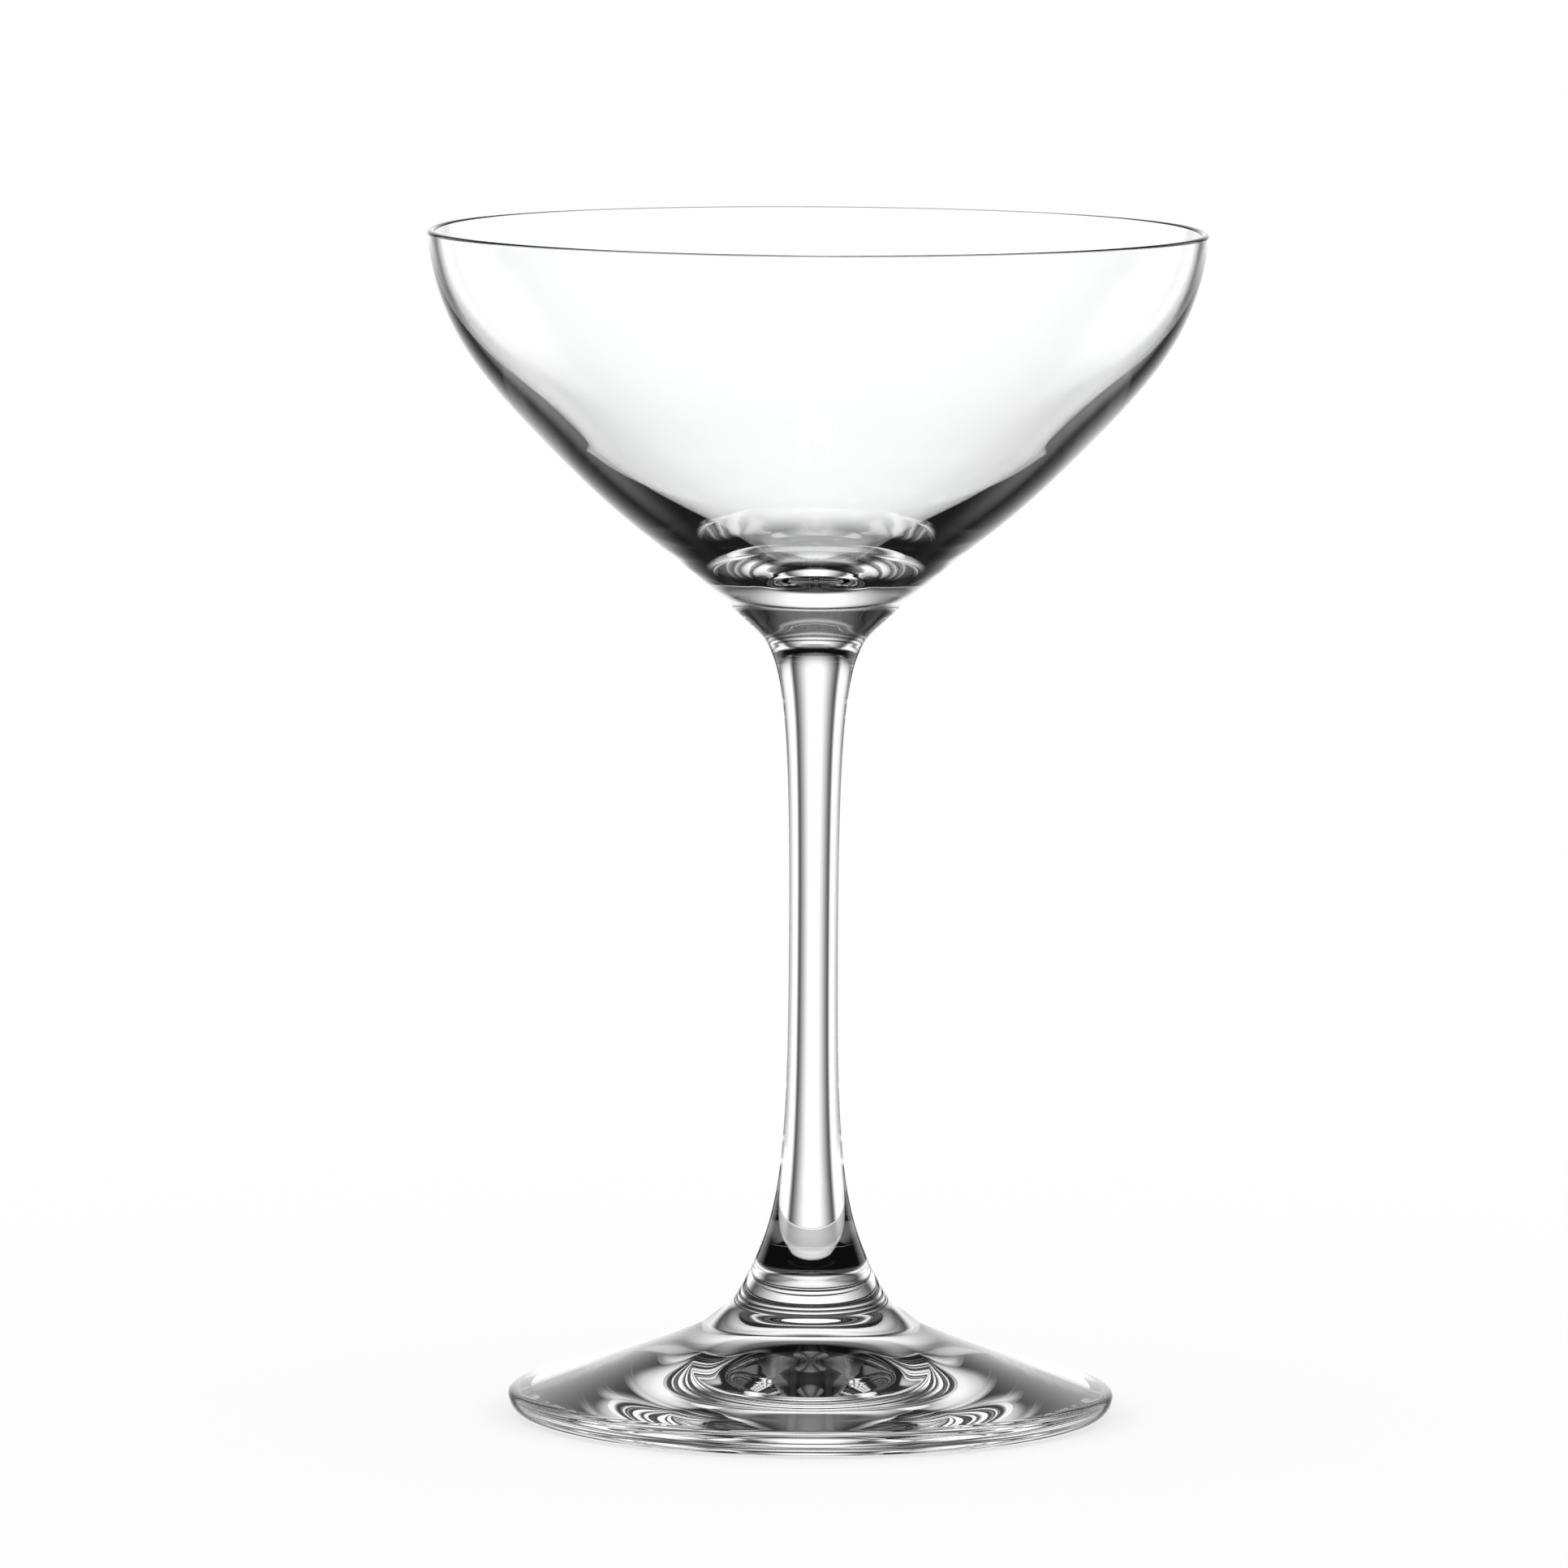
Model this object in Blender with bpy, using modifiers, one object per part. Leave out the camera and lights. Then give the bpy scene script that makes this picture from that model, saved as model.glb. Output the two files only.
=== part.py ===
"""Cocktail coupe: a clear stemmed glass made of three gathers of glass, fused hot.

The foot, the stem and the bowl are turned about +Z. One smooth outline runs down all three:
a piece ends at its seam with the radius and the lean that its neighbour starts with.
Lengths are in metres and leans in degrees. The origin is the middle of the resting plane.
"""
import math
from collections import namedtuple

import bpy
from mathutils import Vector
from mathutils.geometry import interpolate_bezier

# Foot: a sloping disc on a flat resting ring, hollowed underneath up to a small punt, with a hub
# for the stem
FOOT_RADIUS = 0.0409
FOOT_HEIGHT = 0.0200
FLARE_RADIUS = 0.0146
FLARE_HEIGHT = 0.01245
FLARE_LEAN = -53.4
SLOPE_LEAN = -75.7
EDGE_HEIGHT = 0.00255
EDGE_SHOULDER_RISE = 0.0011
EDGE_SHOULDER_WIDTH = 0.0013
EDGE_UNDERCUT = 0.0025
RING_WIDTH = 0.0016
HOLLOW_LEAN = 99.9
PUNT_RADIUS = 0.0148
PUNT_HEIGHT = 0.0027
PUNT_LEAN = 96.1
HOLLOW_RISE = 0.0047

# Hub seam: where the stem is fused to the foot
HUB_RADIUS = 0.0080
HUB_LEAN = -25.4

# Stem: a solid drawn rod with a waist
STEM_LENGTH = 0.0827
WAIST_RADIUS = 0.00333
WAIST_HEIGHT = 0.0445

# Neck seam: where the bowl is fused to the stem
NECK_RADIUS = 0.0059
NECK_LEAN = 23.0

# Bowl: heights are above the neck seam
BOWL_HEIGHT = 0.0567
RIM_RADIUS = 0.0524
RIM_LEAN = 5.4
RIM_WALL = 0.0011
BELLY_RADIUS = 0.0362
BELLY_HEIGHT = 0.0278
BELLY_LEAN = 44.2
BELLY_WALL = 0.00266
INNER_LEAN = 47.5
THROAT_RADIUS = 0.0094
THROAT_HEIGHT = 0.0042
THROAT_LEAN = 47.4
WELL_RADIUS = 0.0158
WELL_HEIGHT = 0.0159
WELL_LEAN = 58.2
BASE_THICKNESS = 0.0114

# Fused seams: the parting that is kept between two pieces
FUSE_GAP = 0.0003

# Directions along an outline, as leans
STRAIGHT_DOWN = 0.0
INWARD = 90.0
OUTWARD = -90.0
HALF_TURN = 180.0

# Pulls: how far a curve keeps its direction, as a share of the distance between its ends
EVEN_PULL = 0.39
FULL_PULL = 0.46
LONG_PULL = 0.62
SHORT_PULL = 0.13
DRAWN_PULL = 0.21

# Facets
STEPS = 64
LONG_RUN = 11
MIDDLE_RUN = 8
SHORT_RUN = 5
MERGE_DISTANCE = 0.00001

# Glass: colour, surface and refraction
GLASS_COLOUR = (0.97, 0.985, 0.98, 1.0)
GLASS_ROUGHNESS = 0.02
GLASS_METALLIC = 0.0
GLASS_TRANSMISSION = 1.0
GLASS_IOR = 1.52

COLLECTION_NAME = "cocktail_coupe"

# A place on an outline. Its lean is the angle between the outline, followed downwards, and
# straight down: positive where it closes in on the axis, negative where it opens out.
Station = namedtuple("Station", ["radius", "height", "lean"])


def place(station):
    """The point of a station in the plane of the profile."""
    return Vector((station.radius, 0.0, station.height))


def heading(station):
    """The unit direction in which the outline passes a station."""
    lean = math.radians(station.lean)
    return Vector((-math.sin(lean), 0.0, -math.cos(lean)))


def back(station):
    """The same station, passed in the other direction."""
    return station._replace(lean=station.lean + HALF_TURN)


def inside(station, wall):
    """The station that lies one wall further in, square to the outline."""
    lean = math.radians(station.lean)
    radius = station.radius - wall * math.cos(lean)
    height = station.height + wall * math.sin(lean)
    return Station(radius, height, station.lean)


def run(start, end, leave, arrive, points):
    """A cubic curve from one station to the next, with a pull at each end."""
    first = place(start)
    last = place(end)
    chord = (last - first).length
    leave_handle = first + heading(start) * chord * leave
    arrive_handle = last - heading(end) * chord * arrive
    return interpolate_bezier(first, leave_handle, arrive_handle, last, points)


def join(*runs):
    """One profile from runs that each start where the last one ends."""
    profile = list(runs[0])
    for following in runs[1:]:
        profile.extend(following[1:])
    return profile


def foot_profile():
    """Hub face, flare, sloping top, rounded edge, resting ring, hollow underside and punt."""
    hub = Station(HUB_RADIUS, FOOT_HEIGHT, HUB_LEAN)
    flare = Station(FLARE_RADIUS, FLARE_HEIGHT, FLARE_LEAN)
    shoulder = Station(
        FOOT_RADIUS - EDGE_SHOULDER_WIDTH, EDGE_HEIGHT + EDGE_SHOULDER_RISE, SLOPE_LEAN
    )
    edge = Station(FOOT_RADIUS, EDGE_HEIGHT, STRAIGHT_DOWN)
    ring_outer = Station(FOOT_RADIUS - EDGE_UNDERCUT, 0.0, INWARD)
    ring_inner = Station(ring_outer.radius - RING_WIDTH, 0.0, HOLLOW_LEAN)
    punt = Station(PUNT_RADIUS, PUNT_HEIGHT, PUNT_LEAN)
    punt_top = Station(0.0, HOLLOW_RISE, INWARD)
    return [Vector((0.0, 0.0, FOOT_HEIGHT))] + join(
        run(hub, flare, LONG_PULL, FULL_PULL, MIDDLE_RUN),
        run(flare, shoulder, SHORT_PULL, EVEN_PULL, LONG_RUN),
        run(shoulder, edge, EVEN_PULL, EVEN_PULL, SHORT_RUN),
        run(edge, ring_outer, EVEN_PULL, EVEN_PULL, SHORT_RUN),
        [place(ring_outer), place(ring_inner)],
        run(ring_inner, punt, FULL_PULL, EVEN_PULL, MIDDLE_RUN),
        run(punt, punt_top, EVEN_PULL, EVEN_PULL, SHORT_RUN),
    )


def stem_profile():
    """Neck face, drawn upper half down to the waist, lower half and hub face."""
    neck = Station(NECK_RADIUS, STEM_LENGTH, NECK_LEAN)
    waist = Station(WAIST_RADIUS, WAIST_HEIGHT, STRAIGHT_DOWN)
    hub = Station(HUB_RADIUS, 0.0, HUB_LEAN)
    outline = join(
        run(neck, waist, SHORT_PULL, LONG_PULL, LONG_RUN),
        run(waist, hub, LONG_PULL, DRAWN_PULL, LONG_RUN),
    )
    return [Vector((0.0, 0.0, STEM_LENGTH))] + outline + [Vector((0.0, 0.0, 0.0))]


def bowl_profile():
    """Inner floor, well and wall, rounded lip, outer wall, throat and neck face."""
    half_wall = RIM_WALL / 2
    lip_height = BOWL_HEIGHT - half_wall
    rim = Station(RIM_RADIUS, lip_height, RIM_LEAN)
    belly = Station(BELLY_RADIUS, BELLY_HEIGHT, BELLY_LEAN)
    throat = Station(THROAT_RADIUS, THROAT_HEIGHT, THROAT_LEAN)
    neck = Station(NECK_RADIUS, 0.0, NECK_LEAN)
    inner_floor = Station(0.0, BASE_THICKNESS, OUTWARD)
    well = back(Station(WELL_RADIUS, WELL_HEIGHT, WELL_LEAN))
    inner_belly = back(inside(belly, BELLY_WALL)._replace(lean=INNER_LEAN))
    inner_rim = back(Station(RIM_RADIUS - RIM_WALL, lip_height, RIM_LEAN))
    lip_top = Station(RIM_RADIUS - half_wall, BOWL_HEIGHT, OUTWARD)
    return join(
        run(inner_floor, well, EVEN_PULL, EVEN_PULL, MIDDLE_RUN),
        run(well, inner_belly, EVEN_PULL, EVEN_PULL, MIDDLE_RUN),
        run(inner_belly, inner_rim, EVEN_PULL, EVEN_PULL, LONG_RUN),
        run(inner_rim, lip_top, EVEN_PULL, EVEN_PULL, SHORT_RUN),
        run(lip_top, rim, EVEN_PULL, EVEN_PULL, SHORT_RUN),
        run(rim, belly, EVEN_PULL, EVEN_PULL, LONG_RUN),
        run(belly, throat, FULL_PULL, FULL_PULL, MIDDLE_RUN),
        run(throat, neck, FULL_PULL, FULL_PULL, SHORT_RUN),
    ) + [Vector((0.0, 0.0, 0.0))]


def clear_glass(name):
    """A clear, polished glass."""
    material = bpy.data.materials.new(name)
    material.use_nodes = True
    shader = material.node_tree.nodes["Principled BSDF"]
    shader.inputs["Base Color"].default_value = GLASS_COLOUR
    shader.inputs["Roughness"].default_value = GLASS_ROUGHNESS
    shader.inputs["Metallic"].default_value = GLASS_METALLIC
    shader.inputs["Transmission Weight"].default_value = GLASS_TRANSMISSION
    shader.inputs["IOR"].default_value = GLASS_IOR
    return material


def turn(name, profile, height, collection, parent):
    """A piece of glass: its profile carried once round the axis by a Screw modifier."""
    mesh = bpy.data.meshes.new(name)
    edges = [(index, index + 1) for index in range(len(profile) - 1)]
    mesh.from_pydata(profile, edges, [])
    mesh.materials.append(clear_glass(name + "_glass"))
    piece = bpy.data.objects.new(name, mesh)
    collection.objects.link(piece)
    piece.parent = parent
    piece.location.z = height
    screw = piece.modifiers.new("turn", "SCREW")
    screw.axis = "Z"
    screw.angle = math.tau
    screw.steps = STEPS
    screw.render_steps = STEPS
    screw.use_merge_vertices = True
    screw.merge_threshold = MERGE_DISTANCE
    screw.use_smooth_shade = True
    return piece


def main():
    """Clears the scene and stands the foot, the stem and the bowl on each other."""
    for item in list(bpy.data.objects):
        bpy.data.objects.remove(item, do_unlink=True)
    collection = bpy.data.collections.new(COLLECTION_NAME)
    bpy.context.scene.collection.children.link(collection)
    glass = bpy.data.objects.new("coupe_axis", None)
    collection.objects.link(glass)
    stem_height = FOOT_HEIGHT + FUSE_GAP
    bowl_height = stem_height + STEM_LENGTH + FUSE_GAP
    turn("foot", foot_profile(), 0.0, collection, glass)
    turn("stem", stem_profile(), stem_height, collection, glass)
    turn("bowl", bowl_profile(), bowl_height, collection, glass)


main()
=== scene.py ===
"""Looks of the cocktail coupe: clear, fire-polished glass in a white studio.

The bowl, the stem and the foot are each a profile carried once round the axis. A profile is a chain
of cubic curves between stations, and it runs on smoothly from one piece to the next, because the
three gathers of glass are fused. Lengths are in metres and angles in radians.
"""
import math
from collections import namedtuple

import bpy
import numpy as np
from bpy.props import FloatProperty, FloatVectorProperty, PointerProperty
from bpy.types import Operator, Panel, PropertyGroup
from mathutils import Matrix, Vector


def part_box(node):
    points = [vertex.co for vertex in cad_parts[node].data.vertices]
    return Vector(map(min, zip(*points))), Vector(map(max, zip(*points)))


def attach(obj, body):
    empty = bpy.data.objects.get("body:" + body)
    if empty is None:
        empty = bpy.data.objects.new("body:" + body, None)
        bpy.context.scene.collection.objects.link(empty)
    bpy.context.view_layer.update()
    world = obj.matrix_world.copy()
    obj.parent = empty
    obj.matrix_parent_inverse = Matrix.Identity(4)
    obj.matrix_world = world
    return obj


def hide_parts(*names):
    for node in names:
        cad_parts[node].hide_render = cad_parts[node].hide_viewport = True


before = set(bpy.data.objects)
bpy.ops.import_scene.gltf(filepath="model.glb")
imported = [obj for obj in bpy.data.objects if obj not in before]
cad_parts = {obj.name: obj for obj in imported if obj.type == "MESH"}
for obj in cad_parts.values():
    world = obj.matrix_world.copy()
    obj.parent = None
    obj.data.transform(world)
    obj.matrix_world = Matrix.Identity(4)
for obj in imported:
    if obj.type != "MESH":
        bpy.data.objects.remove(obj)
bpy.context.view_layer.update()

bl_info = {
    "name": "Cocktail coupe",
    "version": (1, 0, 0),
    "blender": (4, 5, 0),
    "location": "3D View > Sidebar > Coupe",
    "description": "Builds a clear stemmed cocktail coupe and the white studio around it",
    "category": "Add Mesh",
}

# Places that the frame gives: each piece's base and the two fused seams, midway between the solids
FOOT_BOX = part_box("foot")
STEM_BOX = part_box("stem")
BOWL_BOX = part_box("bowl")
STEM_BASE = STEM_BOX[0].z
BOWL_BASE = BOWL_BOX[0].z
HUB_SEAM = (FOOT_BOX[1].z + STEM_BASE) / 2
NECK_SEAM = (STEM_BOX[1].z + BOWL_BASE) / 2

# Directions along a profile, as leans from straight down
QUARTER_TURN = math.pi / 2
STRAIGHT_DOWN = 0.0
INWARD = QUARTER_TURN
OUTWARD = -QUARTER_TURN

# Pulls: how far a curve keeps its direction, as a share of the distance between its ends
EVEN_PULL = 0.39
FULL_PULL = 0.46
LONG_PULL = 0.62
SHORT_PULL = 0.13
DRAWN_PULL = 0.21

# Fineness of the turned surfaces
STEPS = 360
POINT_SPACING = 0.0008
FEWEST_POINTS = 12
FAN_CORNERS = 3
QUAD_CORNERS = 4

# Material places on a piece
CLEAR = 0
FUSED = 1

# Values of the materials
WHITE = (1.0, 1.0, 1.0, 1.0)
NOT_METAL = 0.0
ALL_LIGHT_PASSES = 1.0
PERFECT_POLISH = 0.0
MATT = 1.0
NO_SHINE = 0.0
STRAIGHT_ON = 1.0
ONE_SIZE_OF_WAVE = 0.0
HAZE_NOISE = (0.3, 0.8)

# Bays of the studio, and half the turn from one to the next
BAYS = 8
HALF_BAY_SPACING = math.pi / BAYS

# Bounces that light needs to leave the solid base and the foot
GLASS_BOUNCES = 32

# The photograph's frame and camera
IMAGE_WIDTH = 1932
SENSOR_WIDTH = 36.0
FOCAL_LENGTH_PIXELS = 16202.3
CAMERA_PLACE = (-0.0041, -1.7594, 0.2714)
CAMERA_PITCH = math.radians(6.036)
CAMERA_ROLL = math.radians(0.363)
CAMERA_NEAR = 0.01
CAMERA_FAR = 100.0

# A place on a profile. Its lean is the angle between the profile, followed downwards, and straight
# down: positive where it closes in on the axis, negative where it opens out.
Station = namedtuple("Station", ["radius", "height", "lean"])

# A part of a profile: its points, the outward normals there, and its place in the material list.
Stretch = namedtuple("Stretch", ["points", "normals", "material"])


def length(name, default, description):
    """A size in metres."""
    return FloatProperty(
        name=name, description=description, default=default, precision=5, unit="LENGTH"
    )


def angle(name, degrees, description):
    """An angle, written here in degrees."""
    return FloatProperty(
        name=name, description=description, default=math.radians(degrees), subtype="ANGLE"
    )


def angles(name, degrees, description):
    """A row of angles, written here in degrees."""
    return FloatVectorProperty(
        name=name,
        description=description,
        default=[math.radians(value) for value in degrees],
        size=len(degrees),
        unit="ROTATION",
    )


def share(name, default, description):
    """A part of one."""
    return FloatProperty(
        name=name, description=description, default=default, min=0.0, max=1.0, subtype="FACTOR"
    )


def colour(name, default, description):
    """A linear colour."""
    return FloatVectorProperty(
        name=name,
        description=description,
        default=default,
        size=len(default),
        min=0.0,
        max=1.0,
        subtype="COLOR",
    )


class CoupeSeams(PropertyGroup):
    """The two fused seams, where neighbours share a radius and a lean."""

    hub_radius: length("Hub radius", 0.0080, "Radius of the glass where the stem meets the foot")
    hub_lean: angle("Hub lean", -25.4, "Lean of the outline at the hub seam")
    neck_radius: length("Neck radius", 0.0059, "Radius of the glass where the bowl meets the stem")
    neck_lean: angle("Neck lean", 23.0, "Lean of the outline at the neck seam")
    parting: length("Parting", 0.00001, "Distance of each face of a seam from the seam's middle")


class CoupeFoot(PropertyGroup):
    """Sizes of the foot, with heights above the resting plane."""

    radius: length("Radius", FOOT_BOX[1].x, "Largest radius of the foot")
    flare_radius: length("Flare radius", 0.0146, "Radius at which the flare turns into the slope")
    flare_height: length("Flare height", 0.01245, "Height at which the flare turns into the slope")
    flare_lean: angle("Flare lean", -53.4, "Lean at the end of the flare")
    slope_lean: angle("Slope lean", -75.7, "Lean of the sloping top near its edge")
    edge_height: length("Edge height", 0.00255, "Height of the widest line of the edge")
    edge_rise: length("Edge rise", 0.0011, "Height of the rounding above the widest line")
    edge_width: length("Edge width", 0.0013, "Width of the rounding above the widest line")
    edge_undercut: length("Edge undercut", 0.0025, "Width of the rounding below the widest line")
    ring_width: length("Ring width", 0.0016, "Width of the flat ring that the glass stands on")
    hollow_lean: angle("Hollow lean", 99.9, "Lean with which the hollow leaves the ring")
    punt_radius: length("Punt radius", 0.0148, "Radius at which the hollow turns into the punt")
    punt_height: length("Punt height", 0.0027, "Height at which the hollow turns into the punt")
    punt_lean: angle("Punt lean", 96.1, "Lean where the hollow turns into the punt")
    hollow_rise: length("Hollow rise", 0.0047, "Height of the hollow underside at the axis")


class CoupeStem(PropertyGroup):
    """Sizes of the stem, with heights above its base."""

    waist_radius: length("Waist radius", 0.00333, "Smallest radius of the stem")
    waist_height: length("Waist height", 0.0445, "Height of the waist")


class CoupeBowl(PropertyGroup):
    """Sizes of the bowl, with heights above its base."""

    rim_radius: length("Rim radius", BOWL_BOX[1].x, "Outer radius at the rim")
    height: length("Height", BOWL_BOX[1].z - BOWL_BASE, "Height of the lip")
    rim_lean: angle("Rim lean", 5.4, "Lean of the wall at the rim")
    rim_wall: length("Rim wall", 0.0011, "Thickness of the rounded lip")
    belly_radius: length("Belly radius", 0.0362, "Outer radius where the cone starts")
    belly_height: length("Belly height", 0.0278, "Height where the cone starts")
    belly_lean: angle("Belly lean", 44.2, "Outer lean where the cone starts")
    belly_wall: length("Belly wall", 0.00266, "Wall thickness where the cone starts")
    inner_lean: angle("Inner lean", 47.5, "Inner lean where the cone starts")
    throat_radius: length("Throat radius", 0.0094, "Outer radius where the cone turns to the neck")
    throat_height: length("Throat height", 0.0042, "Height where the cone turns to the neck")
    throat_lean: angle("Throat lean", 47.4, "Lean where the cone turns to the neck")
    well_radius: length("Well radius", 0.0158, "Inner radius where the wall turns to the floor")
    well_height: length("Well height", 0.0159, "Height where the wall turns to the floor")
    well_lean: angle("Well lean", 58.2, "Inner lean where the wall turns to the floor")
    base_thickness: length("Base thickness", 0.0114, "Height of the inner floor at the axis")


class CoupeGlass(PropertyGroup):
    """The finish of the glass."""

    tint: colour("Tint", (0.985, 0.992, 0.990, 1.0), "Colour of the glass in its thicker streaks")
    clear: colour("Clear", (0.998, 1.0, 0.999, 1.0), "Colour of the clearest glass")
    refraction: FloatProperty(
        name="Refraction", description="Index of refraction", default=1.52, min=1.0, max=2.0
    )
    polish: share("Polish", 0.0, "Roughness of the best polished spots")
    haze: share("Haze", 0.005, "Roughness of the least polished spots")
    haze_scale: FloatProperty(
        name="Haze scale", description="Spots of haze per metre", default=180.0, min=0.0
    )
    wave_height: length("Wave height", 0.000004, "Height of the waves left by the fire polish")
    wave_scale: FloatProperty(
        name="Wave scale", description="Waves per metre", default=70.0, min=0.0
    )


class CoupeStudio(PropertyGroup):
    """The white studio. Turns are counted from straight behind the glass, elevations from level."""

    background: share("Background", 1.0, "Level of the background as the camera sees it")
    through: FloatProperty(
        name="Through glass",
        description="Level of the white panels through the glass",
        default=1.25,
    )
    shade: share("Shade", 0.004, "Level of the dark parts of the room")
    gap_level: share("Gap level", 0.07, "Level of the gaps beside the middle panel")
    side_level: share("Side level", 0.4, "Level of the wings at their far sides")
    loft_level: share("Loft level", 0.15, "Level of the faint light above the panels")
    near_level: share("Near level", 0.06, "Level of the floor close to the glass")
    below_level: share("Floor level", 0.42, "Level of the floor below, seen at a slant")
    steep_level: share("Steep level", 0.85, "Level of the floor below, seen from above")
    rear_level: share("Rear level", 0.12, "Level of the rear wall as mirrored light sees it")
    panel: angles("Middle panel", (3.0, 27.0), "Turns at which it starts to fade and has faded")
    wing: angles(
        "Wings",
        (25.0, 34.0, 54.0, 66.0),
        "Turns at which they start, are full, fade and have faded",
    )
    side: angles("Sides", (36.0, 66.0), "Turns at which the wings start to dim and are dimmest")
    side_heights: angles("Side heights", (-22.0, -12.0), "Elevations between which dimming sets in")
    skirt: angles("Skirt", (58.0, 84.0), "Turns at which the wings' lower edge fades and has faded")
    skirt_top: angles("Skirt top", (-6.0, 2.0), "Elevations at which the skirt fades and has faded")
    ceiling: angles("Ceiling", (10.0, 38.0), "Elevations at which the panels fade and have faded")
    loft: angles("Loft", (40.0, 55.0), "Elevations at which the loft's light fades and has faded")
    near: angles("Near floor", (-50.0, -28.0), "Elevations at which the floor is darkest and white")
    bay: angles("Bays", (12.0, 18.0), "Turns from a bay's middle at which it fades and has faded")
    bay_front: angles("Front bays", (18.0, 26.0), "Turns at which the bays start and are full")
    bay_rear: angles("Rear bays", (55.0, 70.0), "Turns between which the bays grow tall")
    bay_foot: angles("Bay feet", (-50.0, -40.0), "Elevations at which the bays start and are full")
    bay_low: angles("Low bays", (-18.0, -12.0), "Elevations at which low bays fade and have faded")
    bay_tall: angles("Tall bays", (16.0, 28.0), "Elevations at which tall bays fade and have faded")
    below: angles("Floor below", (-46.0, -36.0), "Elevations at which it fades and has faded")
    steep: angles("Steep floor", (-74.0, -60.0), "Elevations between which the floor below dims")
    rear: angles("Rear wall", (112.0, 128.0), "Turns at which the rear wall starts and is full")
    rear_heights: angles(
        "Rear wall heights",
        (-8.0, 0.0, 18.0, 30.0),
        "Elevations at which it starts, is full, fades and has faded",
    )
    floor_colour: colour("Floor", (0.3, 0.3, 0.3, 1.0), "Colour of the floor that takes the shadow")
    floor_reach: length("Floor reach", 6.0, "Half the side of the floor")
    floor_drop: length("Floor drop", 0.0002, "Distance of the floor below the resting plane")


class CoupeSettings(PropertyGroup):
    """All sizes and finishes of the coupe."""

    seams: PointerProperty(type=CoupeSeams)
    foot: PointerProperty(type=CoupeFoot)
    stem: PointerProperty(type=CoupeStem)
    bowl: PointerProperty(type=CoupeBowl)
    glass: PointerProperty(type=CoupeGlass)
    studio: PointerProperty(type=CoupeStudio)


def heading(lean):
    """The unit direction (radius, height) of a profile with this lean."""
    return np.array([-math.sin(lean), -math.cos(lean)])


def back(station):
    """The same station, passed in the other direction."""
    return station._replace(lean=station.lean + math.pi)


def inside(station, wall, lean):
    """The station that lies one wall further in, square to the profile, with a lean of its own."""
    radius = station.radius - wall * math.cos(station.lean)
    height = station.height + wall * math.sin(station.lean)
    return Station(radius, height, lean)


def run(start, end, leave, arrive):
    """A cubic curve from one station to the next.

    Its two handles lie on the stations' headings, at shares of the chord. The points are the four
    corners weighted by s^3, 3 s^2 t, 3 s t^2 and t^3, with s = 1 - t. The normal is the slope
    turned a quarter to the outside.
    """
    first = np.array([start.radius, start.height])
    last = np.array([end.radius, end.height])
    chord = np.linalg.norm(last - first)
    leave_handle = first + heading(start.lean) * chord * leave
    arrive_handle = last - heading(end.lean) * chord * arrive
    count = max(FEWEST_POINTS, round(chord / POINT_SPACING))
    t = np.linspace(0.0, 1.0, count)[:, None]
    s = 1.0 - t
    points = (
        s**3 * first
        + 3 * s**2 * t * leave_handle
        + 3 * s * t**2 * arrive_handle
        + t**3 * last
    )
    slopes = (
        s**2 * (leave_handle - first)
        + 2 * s * t * (arrive_handle - leave_handle)
        + t**2 * (last - arrive_handle)
    )
    return Stretch(points, outward(slopes), CLEAR)


def level(inner, outer, height, material):
    """A flat stretch at one height, from one radius to another."""
    points = np.array([[inner, height], [outer, height]])
    slopes = np.repeat(points[1:] - points[:1], len(points), axis=0)
    return Stretch(points, outward(slopes), material)


def outward(slopes):
    """Unit normals of a profile: its slopes (radius, height) turned to (-height, radius)."""
    normals = np.stack([-slopes[:, 1], slopes[:, 0]], axis=1)
    return normals / np.linalg.norm(normals, axis=1, keepdims=True)


def carried_round(values, circle):
    """Pairs (radial, axial) at every step of a circle: radial times (cos, sin), then axial."""
    radial = values[:, None, :1] * circle[None]
    axial = np.broadcast_to(values[:, None, 1:], radial.shape[:2] + (1,))
    return np.concatenate([radial, axial], axis=2)


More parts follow.
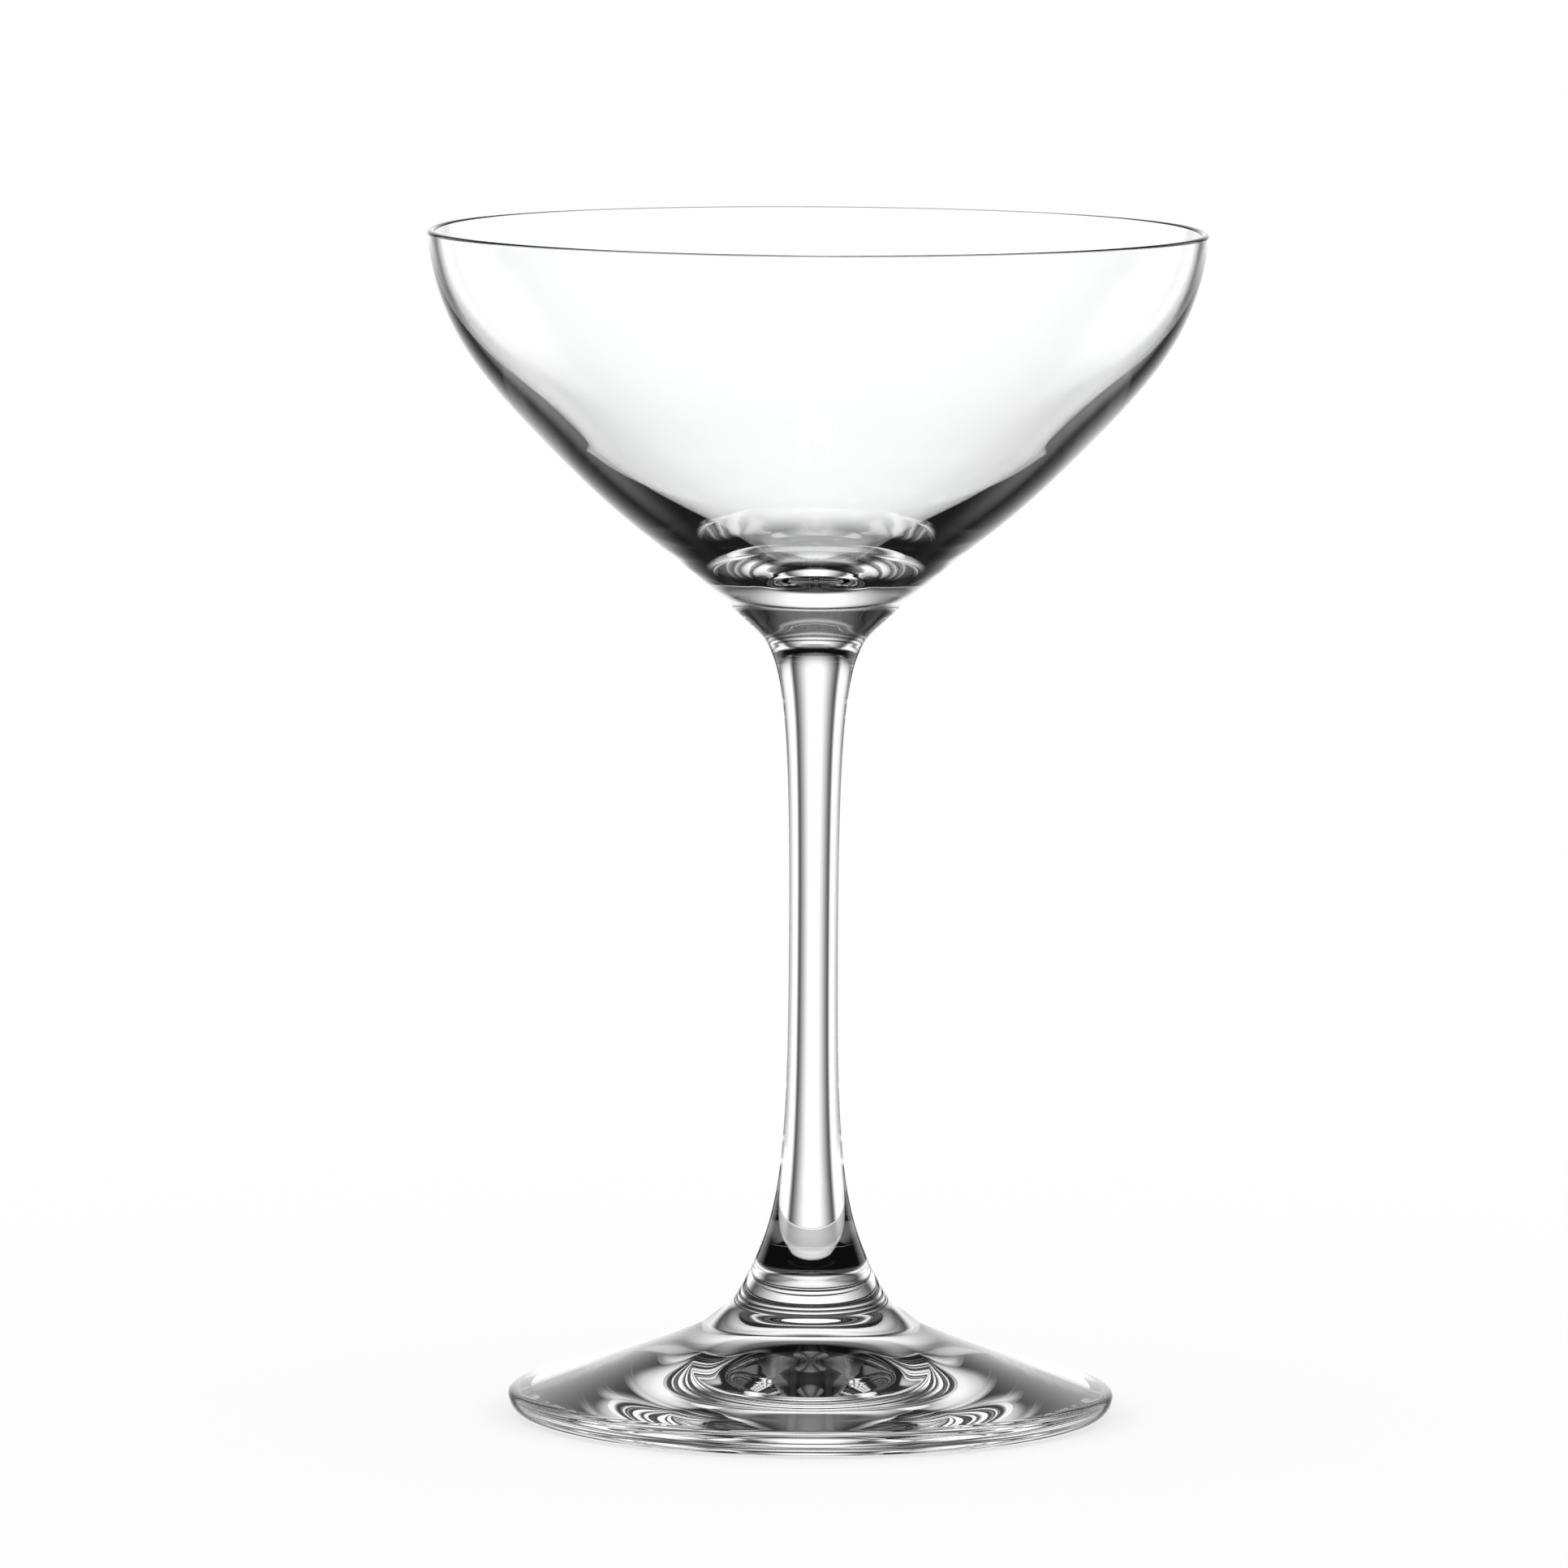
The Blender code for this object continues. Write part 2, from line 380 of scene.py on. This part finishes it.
def turned_mesh(name, stretches):
    """The closed surface that a profile sweeps once round the axis, from pole to pole.

    A point at radius r and height h goes to (r cos a, r sin a, h) for STEPS even angles a. The
    first and last points lie on the axis and become single vertices with a fan of triangles; all
    other rows are joined by quads. Normals come from the profile and not from the facets.
    """
    points = np.vstack([stretches[0].points] + [part.points[1:] for part in stretches[1:]])
    starts = np.vstack([part.normals[:-1] for part in stretches])
    ends = np.vstack([part.normals[1:] for part in stretches])
    slots = np.concatenate([np.full(len(part.points) - 1, part.material) for part in stretches])
    turn = np.linspace(0.0, math.tau, STEPS, endpoint=False)
    circle = np.stack([np.cos(turn), np.sin(turn)], axis=1)
    onward = np.roll(circle, -1, axis=0)

    rings = carried_round(points[1:-1], circle).reshape(-1, 3)
    poles = np.array([[0.0, 0.0, points[0, 1]], [0.0, 0.0, points[-1, 1]]])
    vertices = np.vstack([poles[:1], rings, poles[1:]])

    here = np.arange(STEPS)
    beside = np.roll(here, -1)
    row = 1 + STEPS * np.arange(len(points) - 3)[:, None]
    end_row = 1 + STEPS * (len(points) - 3)
    pole = np.zeros_like(here)
    first_fan = np.stack([pole, 1 + here, 1 + beside], axis=1)
    quads = np.stack([row + here, row + STEPS + here, row + STEPS + beside, row + beside], axis=2)
    last_fan = np.stack([end_row + here, pole + len(vertices) - 1, end_row + beside], axis=1)
    corners = np.concatenate([first_fan.ravel(), quads.ravel(), last_fan.ravel()])
    fan_sides = np.full(STEPS, FAN_CORNERS)
    quad_sides = np.full(quads[..., 0].size, QUAD_CORNERS)
    sides = np.concatenate([fan_sides, quad_sides, fan_sides])

    start_here = carried_round(starts, circle)
    start_on = carried_round(starts, onward)
    end_here = carried_round(ends, circle)
    end_on = carried_round(ends, onward)
    fan_normals = np.stack([start_here[0], end_here[0], end_on[0]], axis=1)
    wall_normals = np.stack([start_here, end_here, end_on, start_on], axis=2)[1:-1]
    end_normals = np.stack([start_here[-1], end_here[-1], start_on[-1]], axis=1)
    normals = np.vstack([part.reshape(-1, 3) for part in (fan_normals, wall_normals, end_normals)])

    mesh = bpy.data.meshes.new(name)
    mesh.vertices.add(len(vertices))
    mesh.vertices.foreach_set("co", vertices.ravel())
    mesh.loops.add(len(corners))
    mesh.loops.foreach_set("vertex_index", corners)
    mesh.polygons.add(len(sides))
    mesh.polygons.foreach_set("loop_start", np.cumsum(sides) - sides)
    mesh.polygons.foreach_set("material_index", np.repeat(slots, STEPS))
    mesh.polygons.foreach_set("use_smooth", np.ones(len(sides), dtype=bool))
    mesh.update(calc_edges=True)
    if mesh.validate():
        raise RuntimeError(name + ": the turned surface is not a valid mesh")
    mesh.normals_split_custom_set(normals.tolist())
    return mesh


def foot_stretches(foot, seams):
    """Hub face, flare, sloping top, rounded edge, resting ring, hollow underside and punt."""
    hub = Station(seams.hub_radius, HUB_SEAM - seams.parting, seams.hub_lean)
    flare = Station(foot.flare_radius, foot.flare_height, foot.flare_lean)
    shoulder = Station(
        foot.radius - foot.edge_width, foot.edge_height + foot.edge_rise, foot.slope_lean
    )
    edge = Station(foot.radius, foot.edge_height, STRAIGHT_DOWN)
    ring_outer = Station(foot.radius - foot.edge_undercut, 0.0, INWARD)
    ring_inner = Station(ring_outer.radius - foot.ring_width, 0.0, foot.hollow_lean)
    punt = Station(foot.punt_radius, foot.punt_height, foot.punt_lean)
    punt_top = Station(0.0, foot.hollow_rise, INWARD)
    return [
        level(0.0, hub.radius, hub.height, FUSED),
        run(hub, flare, LONG_PULL, FULL_PULL),
        run(flare, shoulder, SHORT_PULL, EVEN_PULL),
        run(shoulder, edge, EVEN_PULL, EVEN_PULL),
        run(edge, ring_outer, EVEN_PULL, EVEN_PULL),
        level(ring_outer.radius, ring_inner.radius, 0.0, CLEAR),
        run(ring_inner, punt, FULL_PULL, EVEN_PULL),
        run(punt, punt_top, EVEN_PULL, EVEN_PULL),
    ]


def stem_stretches(stem, seams):
    """Neck face, drawn upper half down to the waist, lower half and hub face."""
    neck = Station(seams.neck_radius, NECK_SEAM - seams.parting, seams.neck_lean)
    waist = Station(stem.waist_radius, STEM_BASE + stem.waist_height, STRAIGHT_DOWN)
    hub = Station(seams.hub_radius, HUB_SEAM + seams.parting, seams.hub_lean)
    return [
        level(0.0, neck.radius, neck.height, FUSED),
        run(neck, waist, SHORT_PULL, LONG_PULL),
        run(waist, hub, LONG_PULL, DRAWN_PULL),
        level(hub.radius, 0.0, hub.height, FUSED),
    ]


def bowl_stretches(bowl, seams):
    """Inner floor, well and wall, rounded lip, outer wall, throat and neck face."""
    half_wall = bowl.rim_wall / 2
    lip_height = BOWL_BASE + bowl.height
    rim = Station(bowl.rim_radius, lip_height - half_wall, bowl.rim_lean)
    belly = Station(bowl.belly_radius, BOWL_BASE + bowl.belly_height, bowl.belly_lean)
    throat = Station(bowl.throat_radius, BOWL_BASE + bowl.throat_height, bowl.throat_lean)
    neck = Station(seams.neck_radius, NECK_SEAM + seams.parting, seams.neck_lean)
    inner_floor = Station(0.0, BOWL_BASE + bowl.base_thickness, OUTWARD)
    well = back(Station(bowl.well_radius, BOWL_BASE + bowl.well_height, bowl.well_lean))
    inner_belly = back(inside(belly, bowl.belly_wall, bowl.inner_lean))
    inner_rim = back(rim._replace(radius=bowl.rim_radius - bowl.rim_wall))
    lip_top = Station(bowl.rim_radius - half_wall, lip_height, OUTWARD)
    return [
        run(inner_floor, well, EVEN_PULL, EVEN_PULL),
        run(well, inner_belly, EVEN_PULL, EVEN_PULL),
        run(inner_belly, inner_rim, EVEN_PULL, EVEN_PULL),
        run(inner_rim, lip_top, EVEN_PULL, EVEN_PULL),
        run(lip_top, rim, EVEN_PULL, EVEN_PULL),
        run(rim, belly, EVEN_PULL, EVEN_PULL),
        run(belly, throat, FULL_PULL, FULL_PULL),
        run(throat, neck, FULL_PULL, FULL_PULL),
        level(neck.radius, 0.0, neck.height, FUSED),
    ]


def add_node(tree, kind, **settings):
    """A node of this kind, with its own settings."""
    node = tree.nodes.new(kind)
    for name, value in settings.items():
        setattr(node, name, value)
    return node


def feed(tree, socket, value):
    """Gives a socket a link, if the value is one, or else a fixed value."""
    if isinstance(value, bpy.types.NodeSocket):
        tree.links.new(value, socket)
    else:
        socket.default_value = value


def reckon(tree, operation, *values):
    """The result of one arithmetic step."""
    node = add_node(tree, "ShaderNodeMath", operation=operation)
    for socket, value in zip(node.inputs, values):
        feed(tree, socket, value)
    return node.outputs["Value"]


def fade(tree, value, start, end, first, last):
    """A smooth change from the first level to the last while the value goes from start to end."""
    node = add_node(tree, "ShaderNodeMapRange", interpolation_type="SMOOTHSTEP")
    feed(tree, node.inputs["Value"], value)
    feed(tree, node.inputs["From Min"], start)
    feed(tree, node.inputs["From Max"], end)
    feed(tree, node.inputs["To Min"], first)
    feed(tree, node.inputs["To Max"], last)
    return node.outputs["Result"]


def clear_glass(name, glass):
    """Fire-polished glass: faint streaks of tint, spots of haze and very low, long waves."""
    material = bpy.data.materials.new(name)
    material.use_nodes = True
    tree = material.node_tree
    shader = tree.nodes["Principled BSDF"]
    shader.inputs["Metallic"].default_value = NOT_METAL
    shader.inputs["Transmission Weight"].default_value = ALL_LIGHT_PASSES
    shader.inputs["IOR"].default_value = glass.refraction
    place = add_node(tree, "ShaderNodeTexCoord").outputs["Object"]

    spots = add_node(tree, "ShaderNodeTexNoise")
    tree.links.new(place, spots.inputs["Vector"])
    spots.inputs["Scale"].default_value = glass.haze_scale
    finish = fade(tree, spots.outputs["Fac"], *HAZE_NOISE, glass.polish, glass.haze)
    tree.links.new(finish, shader.inputs["Roughness"])

    waves = add_node(tree, "ShaderNodeTexNoise")
    tree.links.new(place, waves.inputs["Vector"])
    waves.inputs["Scale"].default_value = glass.wave_scale
    waves.inputs["Detail"].default_value = ONE_SIZE_OF_WAVE
    bump = add_node(tree, "ShaderNodeBump")
    bump.inputs["Distance"].default_value = glass.wave_height
    tree.links.new(waves.outputs["Fac"], bump.inputs["Height"])
    tree.links.new(bump.outputs["Normal"], shader.inputs["Normal"])

    tint = add_node(tree, "ShaderNodeMix", data_type="RGBA")
    tree.links.new(waves.outputs["Fac"], tint.inputs["Factor"])
    tint.inputs["A"].default_value = glass.clear
    tint.inputs["B"].default_value = glass.tint
    tree.links.new(tint.outputs["Result"], shader.inputs["Base Color"])
    return material


def fused_glass(name):
    """The face of a fused seam: the same glass lies on both sides, so light goes straight on."""
    material = bpy.data.materials.new(name)
    material.use_nodes = True
    shader = material.node_tree.nodes["Principled BSDF"]
    shader.inputs["Base Color"].default_value = WHITE
    shader.inputs["Roughness"].default_value = PERFECT_POLISH
    shader.inputs["Transmission Weight"].default_value = ALL_LIGHT_PASSES
    shader.inputs["IOR"].default_value = STRAIGHT_ON
    return material


def add_glass(context, node, stretches):
    """Puts a turned piece of glass in the place of its CAD node."""
    mesh = turned_mesh("coupe_" + node, stretches)
    mesh.materials.append(clear_glass("coupe_" + node + "_clear", context.scene.coupe.glass))
    mesh.materials.append(fused_glass("coupe_" + node + "_fused"))
    piece = bpy.data.objects.new("coupe_" + node, mesh)
    context.scene.collection.objects.link(piece)
    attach(piece, "root")
    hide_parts(node)
    return piece


def floor_material(studio):
    """A pale matt floor. It takes the shadow, and its own glow brings the rest up to white."""
    material = bpy.data.materials.new("studio_floor_pale")
    material.use_nodes = True
    tree = material.node_tree
    shader = tree.nodes["Principled BSDF"]
    shader.inputs["Base Color"].default_value = studio.floor_colour
    shader.inputs["Roughness"].default_value = MATT
    shader.inputs["Specular IOR Level"].default_value = NO_SHINE
    shader.inputs["Emission Color"].default_value = WHITE
    camera_ray = add_node(tree, "ShaderNodeLightPath").outputs["Is Camera Ray"]
    missing = studio.background - max(studio.floor_colour[:3])
    tree.links.new(
        reckon(tree, "MULTIPLY", camera_ray, missing), shader.inputs["Emission Strength"]
    )
    return material


def add_floor(context, studio):
    """A square floor, seen by the camera and lit by the room; the glass shows the room instead."""
    reach = studio.floor_reach
    corners = np.array([[-1.0, -1.0], [1.0, -1.0], [1.0, 1.0], [-1.0, 1.0]]) * reach
    vertices = np.column_stack([corners, np.full(len(corners), -studio.floor_drop)])
    mesh = bpy.data.meshes.new("studio_floor")
    mesh.from_pydata(vertices.tolist(), [], [tuple(range(len(corners)))])
    mesh.materials.append(floor_material(studio))
    floor = bpy.data.objects.new("studio_floor", mesh)
    floor.visible_glossy = False
    floor.visible_transmission = False
    context.scene.collection.objects.link(floor)


def product(tree, *values):
    """All values multiplied with each other."""
    result = values[0]
    for value in values[1:]:
        result = reckon(tree, "MULTIPLY", result, value)
    return result


def panels(tree, studio, aside, elevation):
    """White panels behind the glass: a middle one, and a wing beyond a dark gap on each side.

    The wings dim towards their far sides, but not low down. The panels end above at a dark ceiling
    with a faint loft light, and their lower edge, the skirt, reaches further round. The floor
    darkens near the glass.
    """
    start, full, fading, end = studio.wing
    middle = fade(tree, aside, *studio.panel, 1.0, studio.gap_level)
    dimmest = fade(tree, elevation, *studio.side_heights, 1.0, studio.side_level)
    wings = product(
        tree,
        fade(tree, aside, start, full, studio.gap_level, 1.0),
        fade(tree, aside, *studio.side, 1.0, dimmest),
    )
    lit = fade(tree, elevation, *studio.ceiling, 1.0, 0.0)
    loft = fade(tree, elevation, *studio.loft, studio.loft_level, 0.0)
    upper = product(
        tree, reckon(tree, "MAXIMUM", lit, loft), fade(tree, aside, fading, end, 1.0, 0.0)
    )
    skirt = product(
        tree,
        fade(tree, aside, *studio.skirt, 1.0, 0.0),
        fade(tree, elevation, *studio.skirt_top, 1.0, 0.0),
    )
    return product(
        tree,
        reckon(tree, "MAXIMUM", middle, wings),
        reckon(tree, "MAXIMUM", upper, skirt),
        fade(tree, elevation, *studio.near, studio.near_level, 1.0),
    )


def bays(tree, studio, aside, elevation):
    """Upright white bays at even turns, low in front and tall in the rear, and a pale floor."""
    tall = product(
        tree,
        fade(tree, aside, *studio.bay_rear, 0.0, 1.0),
        fade(tree, elevation, *studio.bay_tall, 1.0, 0.0),
    )
    low = fade(tree, elevation, *studio.bay_low, 1.0, 0.0)
    upright = product(
        tree,
        fade(tree, reckon(tree, "PINGPONG", aside, HALF_BAY_SPACING), *studio.bay, 1.0, 0.0),
        fade(tree, aside, *studio.bay_front, 0.0, 1.0),
        fade(tree, elevation, *studio.bay_foot, 0.0, 1.0),
        reckon(tree, "MAXIMUM", low, tall),
    )
    pale = fade(tree, elevation, *studio.steep, studio.steep_level, studio.below_level)
    return reckon(tree, "MAXIMUM", upright, fade(tree, elevation, *studio.below, pale, 0.0))


def rear_wall(tree, studio, aside, elevation):
    """A faint wall on the camera's side."""
    start, full, fading, end = studio.rear_heights
    return product(
        tree,
        fade(tree, aside, *studio.rear, 0.0, studio.rear_level),
        fade(tree, elevation, start, full, 0.0, 1.0),
        fade(tree, elevation, fading, end, 1.0, 0.0),
    )


def room_level(tree, studio):
    """How bright the room is in each direction, as the glass sees it.

    All light sees the panels. Light that was not mirrored inside the glass also sees the bays, so
    that the glass has white behind it from every side, and mirrored light sees the rear wall. The
    shade of the room stands where nothing is white, and the panels' level where all is.
    """
    direction = add_node(tree, "ShaderNodeTexCoord").outputs["Generated"]
    parts = add_node(tree, "ShaderNodeSeparateXYZ")
    tree.links.new(direction, parts.inputs["Vector"])
    turn = reckon(tree, "ARCTAN2", parts.outputs["X"], parts.outputs["Y"])
    aside = reckon(tree, "ABSOLUTE", turn)
    elevation = reckon(tree, "ARCSINE", parts.outputs["Z"])

    mirrorings = add_node(tree, "ShaderNodeLightPath").outputs["Glossy Depth"]
    around = add_node(tree, "ShaderNodeMix")
    tree.links.new(reckon(tree, "MINIMUM", mirrorings, 1.0), around.inputs["Factor"])
    tree.links.new(bays(tree, studio, aside, elevation), around.inputs["A"])
    tree.links.new(rear_wall(tree, studio, aside, elevation), around.inputs["B"])
    white = reckon(
        tree, "MAXIMUM", panels(tree, studio, aside, elevation), around.outputs["Result"]
    )
    node = add_node(tree, "ShaderNodeMapRange")
    tree.links.new(white, node.inputs["Value"])
    node.inputs["To Min"].default_value = studio.shade
    node.inputs["To Max"].default_value = studio.through
    return node.outputs["Result"]


def studio_world(studio):
    """White to the camera and to the floor; the room with its panels to the glass."""
    world = bpy.data.worlds.new("white_studio")
    world.use_nodes = True
    tree = world.node_tree
    light = tree.nodes["Background"]
    light.inputs["Color"].default_value = WHITE
    path = add_node(tree, "ShaderNodeLightPath")
    by_glass = reckon(
        tree, "MAXIMUM", path.outputs["Is Glossy Ray"], path.outputs["Is Transmission Ray"]
    )
    strength = add_node(tree, "ShaderNodeMix")
    tree.links.new(by_glass, strength.inputs["Factor"])
    strength.inputs["A"].default_value = studio.background
    tree.links.new(room_level(tree, studio), strength.inputs["B"])
    tree.links.new(strength.outputs["Result"], light.inputs["Strength"])
    return world


def add_camera(context):
    """The camera of the photograph: a long lens, a little above the rim."""
    data = bpy.data.cameras.new("photo_camera")
    data.sensor_width = SENSOR_WIDTH
    data.lens = FOCAL_LENGTH_PIXELS / IMAGE_WIDTH * SENSOR_WIDTH
    data.clip_start = CAMERA_NEAR
    data.clip_end = CAMERA_FAR
    camera = bpy.data.objects.new("photo_camera", data)
    camera.matrix_world = (
        Matrix.Translation(CAMERA_PLACE)
        @ Matrix.Rotation(QUARTER_TURN - CAMERA_PITCH, 4, "X")
        @ Matrix.Rotation(CAMERA_ROLL, 4, "Z")
    )
    context.scene.collection.objects.link(camera)
    context.scene.camera = camera


class COUPE_OT_foot(Operator):
    """Add the foot: a sloping disc with a hub, a resting ring, a hollow underside and a punt"""

    bl_idname = "coupe.foot"
    bl_label = "Add Foot"

    def execute(self, context):
        coupe = context.scene.coupe
        add_glass(context, "foot", foot_stretches(coupe.foot, coupe.seams))
        return {"FINISHED"}


class COUPE_OT_stem(Operator):
    """Add the stem: a solid drawn rod with a waist"""

    bl_idname = "coupe.stem"
    bl_label = "Add Stem"

    def execute(self, context):
        coupe = context.scene.coupe
        add_glass(context, "stem", stem_stretches(coupe.stem, coupe.seams))
        return {"FINISHED"}


class COUPE_OT_bowl(Operator):
    """Add the bowl: a thin lip, a wall that thickens downwards and a solid base"""

    bl_idname = "coupe.bowl"
    bl_label = "Add Bowl"

    def execute(self, context):
        coupe = context.scene.coupe
        add_glass(context, "bowl", bowl_stretches(coupe.bowl, coupe.seams))
        return {"FINISHED"}


class COUPE_OT_studio(Operator):
    """Add the camera, the floor and the white room around the glass"""

    bl_idname = "coupe.studio"
    bl_label = "Add Studio"

    def execute(self, context):
        scene = context.scene
        add_camera(context)
        add_floor(context, scene.coupe.studio)
        scene.world = studio_world(scene.coupe.studio)
        scene.view_settings.view_transform = "Standard"
        scene.cycles.max_bounces = GLASS_BOUNCES
        scene.cycles.glossy_bounces = GLASS_BOUNCES
        scene.cycles.transmission_bounces = GLASS_BOUNCES
        scene.cycles.blur_glossy = 0.0
        return {"FINISHED"}


class VIEW3D_PT_coupe(Panel):
    """Sizes, finish and studio of the coupe"""

    bl_label = "Cocktail Coupe"
    bl_space_type = "VIEW_3D"
    bl_region_type = "UI"
    bl_category = "Coupe"

    def draw(self, context):
        coupe = context.scene.coupe
        for title, group, operator in (
            ("Studio", coupe.studio, COUPE_OT_studio),
            ("Seams", coupe.seams, None),
            ("Foot", coupe.foot, COUPE_OT_foot),
            ("Stem", coupe.stem, COUPE_OT_stem),
            ("Bowl", coupe.bowl, COUPE_OT_bowl),
            ("Glass", coupe.glass, None),
        ):
            box = self.layout.box()
            box.label(text=title)
            for name in group.__annotations__:
                box.prop(group, name)
            if operator:
                box.operator(operator.bl_idname)


CLASSES = (
    CoupeSeams,
    CoupeFoot,
    CoupeStem,
    CoupeBowl,
    CoupeGlass,
    CoupeStudio,
    CoupeSettings,
    COUPE_OT_foot,
    COUPE_OT_stem,
    COUPE_OT_bowl,
    COUPE_OT_studio,
    VIEW3D_PT_coupe,
)


def register():
    """Makes the settings, the operators and the panel known to Blender."""
    for item in CLASSES:
        bpy.utils.register_class(item)
    bpy.types.Scene.coupe = PointerProperty(type=CoupeSettings)


def unregister():
    """Takes them out again, in the other order."""
    del bpy.types.Scene.coupe
    for item in reversed(CLASSES):
        bpy.utils.unregister_class(item)


def main():
    """Builds the studio and the three pieces of glass."""
    register()
    bpy.ops.coupe.studio()
    bpy.ops.coupe.foot()
    bpy.ops.coupe.stem()
    bpy.ops.coupe.bowl()


if __name__ == "__main__":
    main()
